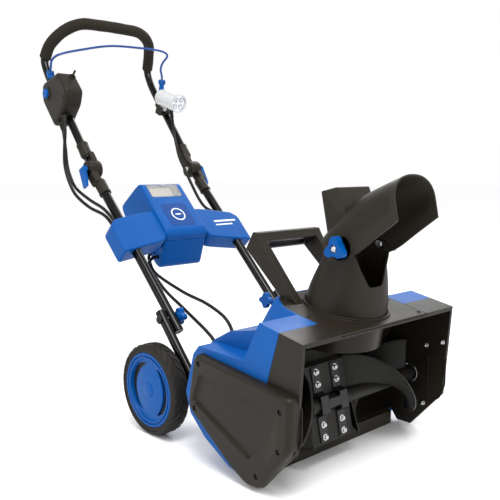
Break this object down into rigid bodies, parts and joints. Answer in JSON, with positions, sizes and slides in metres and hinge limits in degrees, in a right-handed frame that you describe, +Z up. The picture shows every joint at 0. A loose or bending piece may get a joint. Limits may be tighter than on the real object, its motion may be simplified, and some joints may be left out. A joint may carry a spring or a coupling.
{
  "type": "single stage snowblower",
  "caption": "Battery snowblower on rear wheels: wide auger housing, turning chute with tilting deflector, folding tube handle with battery box, bail, switch box and headlight.",
  "frame": {"origin": "middle of the scraper bar's foot, on the ground", "axes": "+X across the machine to the right seen from the front, +Y towards the handle, +Z up"},
  "size_m": [0.5187, 1.1339, 1.0195],
  "materials": {
    "black_plastic": "fine moulded texture",
    "blue_plastic": "semi-gloss moulded",
    "black_tube": "gloss powder coat",
    "blue_metal": "gloss coat",
    "tyre": "matte tread rubber",
    "rubber": "matte",
    "cable": "smooth sheath",
    "foam": "closed-cell foam",
    "steel": "brushed",
    "dark_steel": "black coat",
    "clear_plastic": "clear",
    "white_plastic": "translucent white"
  },
  "bodies": {
    "root": {"auger_housing": "black_plastic", "chute_deck": "black_plastic", "carry_handle": "black_plastic", "scraper_bar": "black_plastic", "motor_cowl": "blue_plastic", "belt_cover": "black_plastic", "auger_bearing_left": "steel", "auger_bearing_right": "steel", "drive_belt": "rubber", "motor": "dark_steel", "axle": "steel", "frame_tube_left": "black_tube", "frame_tube_right": "black_tube", "motor_cable_upper": "cable", "motor_cable_lower": "cable"},
    "auger": {"auger_shaft": "dark_steel", "auger_flight_left": "rubber", "auger_flight_right": "rubber", "auger_paddle": "rubber", "paddle_clamp": "dark_steel", "auger_pulley": "dark_steel"},
    "motor_rotor": {"motor_pulley": "dark_steel"},
    "wheel_left": {"tyre_left": "tyre", "wheel_hub_left": "blue_plastic"},
    "wheel_right": {"tyre_right": "tyre", "wheel_hub_right": "blue_plastic"},
    "chute": {"chute_lower": "black_plastic"},
    "deflector": {"deflector": "black_plastic"},
    "deflector_knob_left": {"deflector_knob_left": "blue_plastic"},
    "deflector_knob_right": {"deflector_knob_right": "blue_plastic"},
    "lower_handle": {"handle_tube_left": "black_tube", "handle_tube_right": "black_tube", "battery_cover": "blue_plastic", "battery_tray": "blue_plastic", "battery_pack": "black_plastic", "knuckle_lower_left": "black_plastic", "knuckle_lower_right": "black_plastic"},
    "fold_knob_left": {"fold_knob_left": "blue_plastic"},
    "fold_knob_right": {"fold_knob_right": "blue_plastic"},
    "battery_door": {"battery_door": "clear_plastic"},
    "upper_handle": {"knuckle_upper_left": "black_plastic", "knuckle_upper_right": "black_plastic", "upper_tube": "black_tube", "foam_grip": "foam", "switch_box_outer": "black_plastic", "switch_box_inner": "black_plastic", "bail_socket_left": "blue_plastic", "bail_socket_right": "blue_plastic", "lamp_clamp": "black_plastic", "switch_cable_outer": "cable", "switch_cable_inner": "cable", "lamp_cable": "cable"},
    "fold_lever_left": {"fold_lever_left": "blue_plastic"},
    "fold_lever_right": {"fold_lever_right": "blue_plastic"},
    "safety_button": {"safety_button": "blue_plastic"},
    "lamp_switch": {"lamp_switch": "black_plastic"},
    "bail": {"bail": "blue_metal"},
    "lamp": {"lamp_body": "white_plastic", "lamp_lens": "clear_plastic"}
  },
  "joints": [
    {"name": "auger_spin", "type": "hinge", "parent": "root", "child": "auger", "pos_m": [0, -0.04, 0.126], "axis": [1, 0, 0], "continuous": true},
    {"name": "motor_spin", "type": "hinge", "parent": "root", "child": "motor_rotor", "pos_m": [-0.19, 0.12, 0.152], "axis": [1, 0, 0], "continuous": true},
    {"name": "wheel_left_spin", "type": "hinge", "parent": "root", "child": "wheel_left", "pos_m": [-0.2277, 0.3279, 0.1041], "axis": [1, 0, 0], "continuous": true},
    {"name": "wheel_right_spin", "type": "hinge", "parent": "root", "child": "wheel_right", "pos_m": [0.2277, 0.3279, 0.1041], "axis": [1, 0, 0], "continuous": true},
    {"name": "chute_turn", "type": "hinge", "parent": "root", "child": "chute", "pos_m": [0, -0.0375, 0.31827], "axis": [0, -0.1904, 0.9817], "range_deg": [-90, 90]},
    {"name": "deflector_tilt", "type": "hinge", "parent": "chute", "child": "deflector", "pos_m": [0, -0.076, 0.447], "axis": [1, 0, 0], "range_deg": [-2, 30]},
    {"name": "deflector_knob_left_turn", "type": "hinge", "parent": "chute", "child": "deflector_knob_left", "pos_m": [-0.08, -0.076, 0.447], "axis": [1, 0, 0], "continuous": true},
    {"name": "deflector_knob_right_turn", "type": "hinge", "parent": "chute", "child": "deflector_knob_right", "pos_m": [0.08, -0.076, 0.447], "axis": [1, 0, 0], "continuous": true},
    {"name": "lower_handle_fold", "type": "hinge", "parent": "root", "child": "lower_handle", "pos_m": [0, 0.344, 0.256], "axis": [1, 0, 0], "range_deg": [-35, 0], "deforming": ["motor_cable_upper", "motor_cable_lower"]},
    {"name": "fold_knob_left_turn", "type": "hinge", "parent": "root", "child": "fold_knob_left", "pos_m": [-0.15, 0.344, 0.256], "axis": [1, 0, 0], "continuous": true},
    {"name": "fold_knob_right_turn", "type": "hinge", "parent": "root", "child": "fold_knob_right", "pos_m": [0.15, 0.344, 0.256], "axis": [1, 0, 0], "continuous": true},
    {"name": "battery_door_open", "type": "hinge", "parent": "lower_handle", "child": "battery_door", "pos_m": [0, 0.58142, 0.5254], "axis": [1, 0, 0], "range_deg": [0, 100]},
    {"name": "upper_handle_fold", "type": "hinge", "parent": "lower_handle", "child": "upper_handle", "pos_m": [0, 0.681, 0.597], "axis": [1, 0, 0], "range_deg": [0, 120], "deforming": ["switch_cable_outer", "switch_cable_inner", "lamp_cable"]},
    {"name": "fold_lever_left_flip", "type": "hinge", "parent": "lower_handle", "child": "fold_lever_left", "pos_m": [-0.1932, 0.681, 0.597], "axis": [0, 0.891, -0.454], "range_deg": [0, 110]},
    {"name": "fold_lever_right_flip", "type": "hinge", "parent": "lower_handle", "child": "fold_lever_right", "pos_m": [0.1932, 0.681, 0.597], "axis": [0, -0.891, 0.454], "range_deg": [0, 110]},
    {"name": "safety_button_press", "type": "slide", "parent": "upper_handle", "child": "safety_button", "axis": [1, 0, 0], "range_m": [0, 0.004], "stiffness_N_per_m": 300},
    {"name": "lamp_switch_flip", "type": "hinge", "parent": "upper_handle", "child": "lamp_switch", "pos_m": [-0.161, 0.782, 0.8452], "axis": [1, 0, 0], "range_deg": [0, 12]},
    {"name": "bail_squeeze", "type": "hinge", "parent": "upper_handle", "child": "bail", "pos_m": [-0.188, 0.853, 0.858], "axis": [0.9975, -0.0701, 0.0084], "range_deg": [-18, 0], "stiffness_Nm_per_rad": 0.8},
    {"name": "lamp_tilt", "type": "hinge", "parent": "upper_handle", "child": "lamp", "pos_m": [0.147, 0.794, 0.779], "axis": [1, 0, 0], "range_deg": [-3, 18], "deforming": ["lamp_cable"]}
  ],
  "couplings": [
    {"joint": "motor_spin", "follows": "auger_spin", "ratio": 3.2143}
  ]
}
